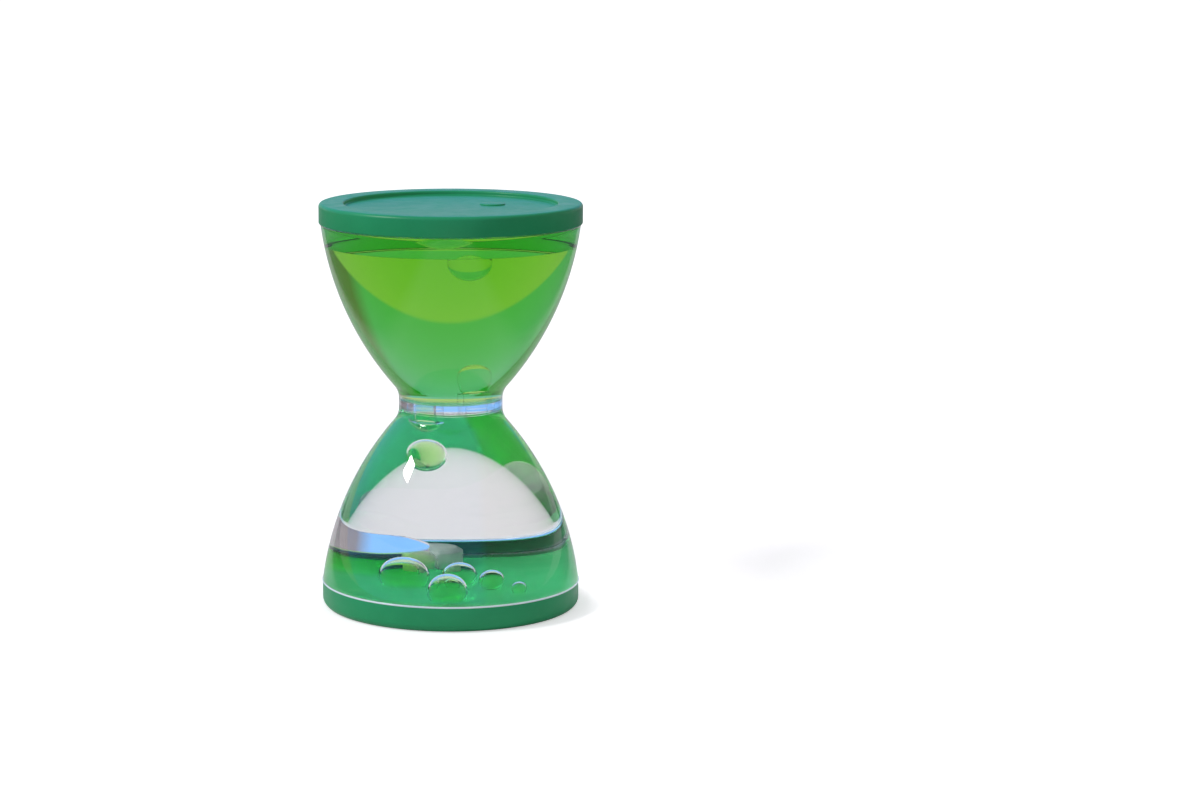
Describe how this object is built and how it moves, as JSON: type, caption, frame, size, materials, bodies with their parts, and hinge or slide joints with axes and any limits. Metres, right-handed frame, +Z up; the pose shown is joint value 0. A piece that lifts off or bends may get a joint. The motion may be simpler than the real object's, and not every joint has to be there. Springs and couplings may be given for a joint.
{
  "type": "liquid motion timer",
  "caption": "Sealed hourglass-shaped timer of clear bells and coloured caps, in which coloured drops fall and clear drops rise through nozzles in the neck.",
  "frame": {"origin": "centre of the base rim's underside, on the surface that the timer stands on", "axes": "+Z up along the timer's axis, -Y towards the viewer of the picture, +X to the viewer's right, on the riser nozzle's side"},
  "size_m": [0.058, 0.058, 0.09],
  "materials": {
    "cap_green": "fine satin moulded plastic, opaque green",
    "clear_acrylic": "polished clear plastic",
    "seal_clear": "translucent sealing ring and cement",
    "plug_silicone": "translucent grey silicone",
    "coloured_water": "green dyed water",
    "clear_oil": "clear colourless oil"
  },
  "bodies": {
    "timer": {"upper_bell": "clear_acrylic", "lower_bell": "clear_acrylic", "jet_plate": "clear_acrylic", "riser_nozzle": "clear_acrylic", "drip_nozzle": "clear_acrylic", "lid": "cap_green", "base": "cap_green", "lid_seal": "seal_clear", "base_seal": "seal_clear", "lid_bond_bead": "seal_clear", "base_fill_plug": "plug_silicone", "coloured_liquid": "coloured_water", "clear_liquid": "clear_oil", "clear_layer": "clear_oil", "pendant_drop": "coloured_water", "settled_pool": "coloured_water", "waiting_drop": "clear_oil", "landed_drop_1": "coloured_water", "landed_drop_2": "coloured_water", "landed_drop_3": "coloured_water", "landed_drop_4": "coloured_water", "landed_drop_5": "coloured_water", "risen_drop_1": "clear_oil", "risen_drop_2": "clear_oil", "risen_drop_3": "clear_oil"},
    "falling_drop": {"falling_drop": "coloured_water"},
    "rising_drop": {"rising_drop": "clear_oil"}
  },
  "joints": [
    {"name": "drop_fall", "type": "slide", "parent": "timer", "child": "falling_drop", "axis": [0, 0, -1], "range_m": [-0.0017, 0.0219], "deforming": ["clear_liquid"]},
    {"name": "drop_rise", "type": "slide", "parent": "timer", "child": "rising_drop", "axis": [0, 0, 1], "range_m": [0, 0.0172], "deforming": ["coloured_liquid"]}
  ]
}
